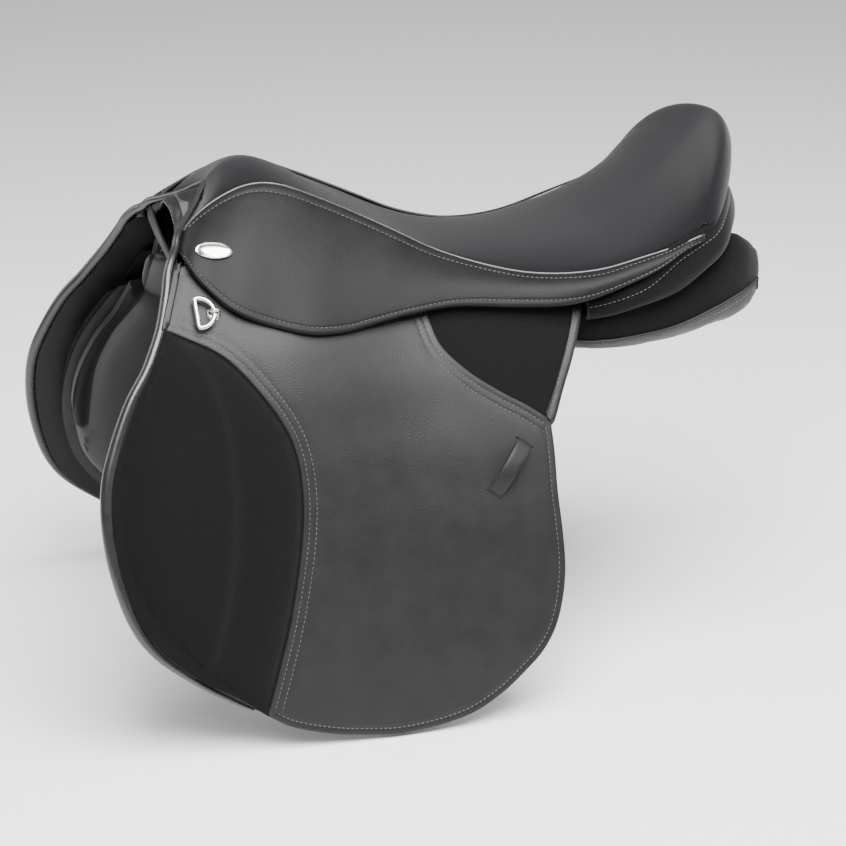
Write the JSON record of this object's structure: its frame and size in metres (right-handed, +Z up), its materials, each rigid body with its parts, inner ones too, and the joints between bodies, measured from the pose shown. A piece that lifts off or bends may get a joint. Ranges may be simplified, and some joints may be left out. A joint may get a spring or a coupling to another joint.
{
  "type": "english saddle",
  "caption": "General-purpose English riding saddle with suede seat, lifting skirts and flaps, knee rolls, stirrup bars, girth straps and split panels.",
  "frame": {"origin": "on the centre plane, midway between the undersides of the two panels, below the lowest point of the seat", "axes": "+Y from pommel to cantle, +X to the rider's left (near) side, +Z up"},
  "size_m": [0.4254, 0.5546, 0.4158],
  "materials": {
    "polymer": "matte",
    "steel": "satin",
    "nickel": "polished",
    "webbing": "woven",
    "foam": "open cell",
    "suede": "suede",
    "leather": "fine grain, satin",
    "roll_leather": "smooth, glossy",
    "panel_leather": "smooth"
  },
  "bodies": {
    "saddle": {"tree": "polymer", "gullet_plate": "steel", "gullet_screws": "steel", "seat_webs": "webbing", "seat_foam": "foam", "seat_cover": "suede", "pommel_welt": "roll_leather", "cantle_band": "suede", "seat_piping_near": "leather", "seat_piping_off": "leather", "stirrup_bar_near": "steel", "stirrup_bar_off": "steel", "bar_rivets_near": "nickel", "bar_rivets_off": "nickel", "skirt_head_near": "leather", "skirt_head_off": "leather", "flap_head_near": "leather", "flap_head_off": "leather", "dee_stud_near": "nickel", "dee_stud_off": "nickel", "girth_web_near": "webbing", "girth_web_off": "webbing", "knee_block_near": "suede", "knee_block_off": "suede", "thigh_block_near": "suede", "thigh_block_off": "suede", "sweat_flap_near": "panel_leather", "sweat_flap_off": "panel_leather", "point_pocket_near": "leather", "point_pocket_off": "leather", "panel_leg_near": "panel_leather", "panel_leg_off": "panel_leather", "panel_near": "suede", "panel_off": "suede"},
    "near_flap": {"flap_near": "leather", "knee_suede_near": "suede", "rear_suede_near": "suede", "front_roll_near": "roll_leather", "keeper_near": "leather"},
    "near_skirt": {"skirt_near": "leather", "badge_near": "nickel"},
    "near_catch": {"bar_catch_near": "steel"},
    "near_dee": {"dee_ring_near": "nickel"},
    "near_front_strap": {"front_strap_near": "leather"},
    "near_rear_strap": {"rear_strap_near": "leather"},
    "off_flap": {"flap_off": "leather", "knee_suede_off": "suede", "rear_suede_off": "suede", "front_roll_off": "roll_leather", "keeper_off": "leather"},
    "off_skirt": {"skirt_off": "leather", "badge_off": "nickel"},
    "off_catch": {"bar_catch_off": "steel"},
    "off_dee": {"dee_ring_off": "nickel"},
    "off_front_strap": {"front_strap_off": "leather"},
    "off_rear_strap": {"rear_strap_off": "leather"}
  },
  "joints": [
    {"name": "near_flap_lift", "type": "hinge", "parent": "saddle", "child": "near_flap", "pos_m": [0.1304, -0.15, 0.03], "axis": [0.019, -0.9998, 0], "range_deg": [0, 70]},
    {"name": "near_skirt_lift", "type": "hinge", "parent": "saddle", "child": "near_skirt", "pos_m": [0.08309, -0.09552, 0.09401], "axis": [-0.1361, -0.9678, 0.2117], "range_deg": [0, 50]},
    {"name": "near_catch_turn", "type": "hinge", "parent": "saddle", "child": "near_catch", "pos_m": [0.06857, -0.07912, 0.07061], "axis": [0.7071, 0, -0.7071], "range_deg": [0, 30]},
    {"name": "near_dee_swing", "type": "hinge", "parent": "saddle", "child": "near_dee", "pos_m": [0.11382, -0.22, 0.06115], "axis": [-0.6491, 0, 0.7607], "range_deg": [0, 110]},
    {"name": "near_front_strap_swing", "type": "hinge", "parent": "saddle", "child": "near_front_strap", "pos_m": [0.1153, -0.118, 0.01546], "axis": [0.9671, 0, 0.2543], "range_deg": [-9, 4]},
    {"name": "near_rear_strap_swing", "type": "hinge", "parent": "saddle", "child": "near_rear_strap", "pos_m": [0.1037, -0.052, 0.01451], "axis": [0.9589, 0, 0.2836], "range_deg": [-4, 9]},
    {"name": "off_flap_lift", "type": "hinge", "parent": "saddle", "child": "off_flap", "pos_m": [-0.1304, -0.15, 0.03], "axis": [0.019, 0.9998, 0], "range_deg": [0, 70]},
    {"name": "off_skirt_lift", "type": "hinge", "parent": "saddle", "child": "off_skirt", "pos_m": [-0.08309, -0.09552, 0.09401], "axis": [-0.1361, 0.9678, -0.2117], "range_deg": [0, 50]},
    {"name": "off_catch_turn", "type": "hinge", "parent": "saddle", "child": "off_catch", "pos_m": [-0.06857, -0.07912, 0.07061], "axis": [0.7071, 0, 0.7071], "range_deg": [0, 30]},
    {"name": "off_dee_swing", "type": "hinge", "parent": "saddle", "child": "off_dee", "pos_m": [-0.11382, -0.22, 0.06115], "axis": [-0.6491, 0, -0.7607], "range_deg": [0, 110]},
    {"name": "off_front_strap_swing", "type": "hinge", "parent": "saddle", "child": "off_front_strap", "pos_m": [-0.1153, -0.118, 0.01546], "axis": [0.9671, 0, -0.2543], "range_deg": [-9, 4]},
    {"name": "off_rear_strap_swing", "type": "hinge", "parent": "saddle", "child": "off_rear_strap", "pos_m": [-0.1037, -0.052, 0.01451], "axis": [0.9589, 0, -0.2836], "range_deg": [-4, 9]}
  ]
}
